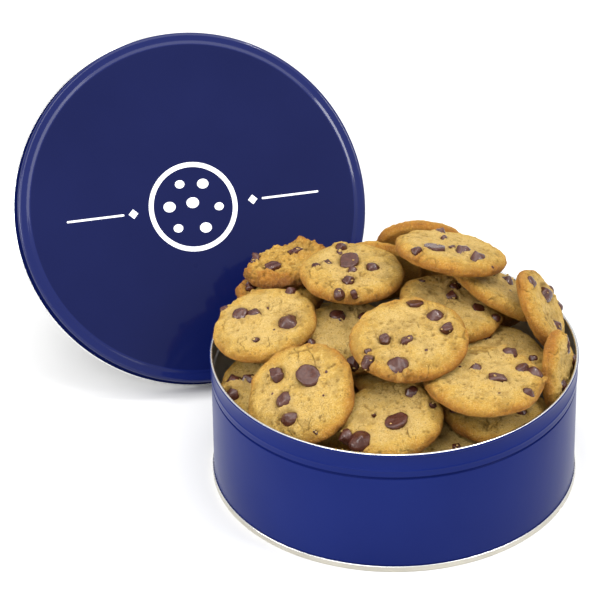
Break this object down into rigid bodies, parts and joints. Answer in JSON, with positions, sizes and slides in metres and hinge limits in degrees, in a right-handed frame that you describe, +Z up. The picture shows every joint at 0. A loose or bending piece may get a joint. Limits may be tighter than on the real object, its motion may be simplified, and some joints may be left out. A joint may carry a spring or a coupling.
{
  "type": "cookie tin",
  "caption": "Round two-piece metal tin with a rolled rim, a bead and a seamed base, heaped with chocolate chip cookies, its lid leaning behind it.",
  "frame": {"origin": "on the table, under the middle of the footprint of the tin and the leaning lid together", "axes": "+Z up; -Y is the front, the side the lid's panel faces; +X to the right, along the longest extent"},
  "size_m": [0.2981, 0.2791, 0.1625],
  "materials": {
    "blue_lacquer": "gloss lacquer over tinplate",
    "tinplate": "bare bright tinplate",
    "cookie": "matte baked dough"
  },
  "bodies": {
    "root": {"body_shell": "blue_lacquer", "bottom_end": "tinplate", "cookie_layer_1_1": "cookie", "cookie_layer_1_2": "cookie", "cookie_layer_1_3": "cookie", "cookie_layer_1_4": "cookie", "cookie_layer_1_5": "cookie", "cookie_layer_1_6": "cookie", "cookie_layer_1_7": "cookie", "cookie_layer_2_1": "cookie", "cookie_layer_2_2": "cookie", "cookie_layer_2_3": "cookie", "cookie_layer_2_4": "cookie", "cookie_layer_2_5": "cookie", "cookie_layer_2_6": "cookie", "cookie_layer_2_7": "cookie", "cookie_layer_3_1": "cookie", "cookie_layer_3_2": "cookie", "cookie_layer_3_3": "cookie", "cookie_layer_3_4": "cookie", "cookie_layer_3_5": "cookie", "cookie_layer_3_6": "cookie", "cookie_layer_3_7": "cookie", "cookie_layer_4_1": "cookie", "cookie_layer_4_2": "cookie", "cookie_layer_4_3": "cookie", "cookie_layer_4_4": "cookie", "cookie_layer_4_5": "cookie", "cookie_layer_4_6": "cookie", "cookie_layer_4_7": "cookie", "cookie_fill_front": "cookie", "cookie_fill_back": "cookie", "cookie_fill_middle": "cookie", "cookie_fill_left": "cookie", "cookie_front_right_low": "cookie", "cookie_left_low": "cookie", "cookie_front_right": "cookie", "cookie_right_low": "cookie", "cookie_front": "cookie", "cookie_middle": "cookie", "cookie_back_left_low": "cookie", "cookie_back_left": "cookie", "cookie_back_right_low": "cookie", "cookie_back_upright_left": "cookie", "cookie_right_tilted": "cookie", "cookie_right_upright": "cookie", "cookie_left": "cookie", "cookie_top_right": "cookie", "cookie_right": "cookie", "cookie_top_left": "cookie"},
    "lid": {"lid": "blue_lacquer"},
    "cookie_crown": {"cookie_crown": "cookie"},
    "cookie_top_centre": {"cookie_top_centre": "cookie"},
    "cookie_front_left": {"cookie_front_left": "cookie"},
    "cookie_right_leaning": {"cookie_right_leaning": "cookie"},
    "cookie_back_upright_right": {"cookie_back_upright_right": "cookie"}
  },
  "joints": [
    {"name": "lid_tip", "type": "hinge", "parent": "root", "child": "lid", "pos_m": [-0.0427, 0.0281, 0.0005], "axis": [-0.9724, -0.2334, 0], "range_deg": [-3, 54.7]},
    {"name": "cookie_crown_lift", "type": "slide", "parent": "root", "child": "cookie_crown", "axis": [0, 0, 1], "range_m": [0, 0.12]},
    {"name": "cookie_top_centre_lift", "type": "slide", "parent": "root", "child": "cookie_top_centre", "axis": [0, 0, 1], "range_m": [0, 0.12]},
    {"name": "cookie_front_left_lift", "type": "slide", "parent": "root", "child": "cookie_front_left", "axis": [0, 0, 1], "range_m": [0, 0.12]},
    {"name": "cookie_right_leaning_lift", "type": "slide", "parent": "root", "child": "cookie_right_leaning", "axis": [0, 0, 1], "range_m": [0, 0.12]},
    {"name": "cookie_back_upright_right_lift", "type": "slide", "parent": "root", "child": "cookie_back_upright_right", "axis": [0, 0, 1], "range_m": [0, 0.12]}
  ]
}
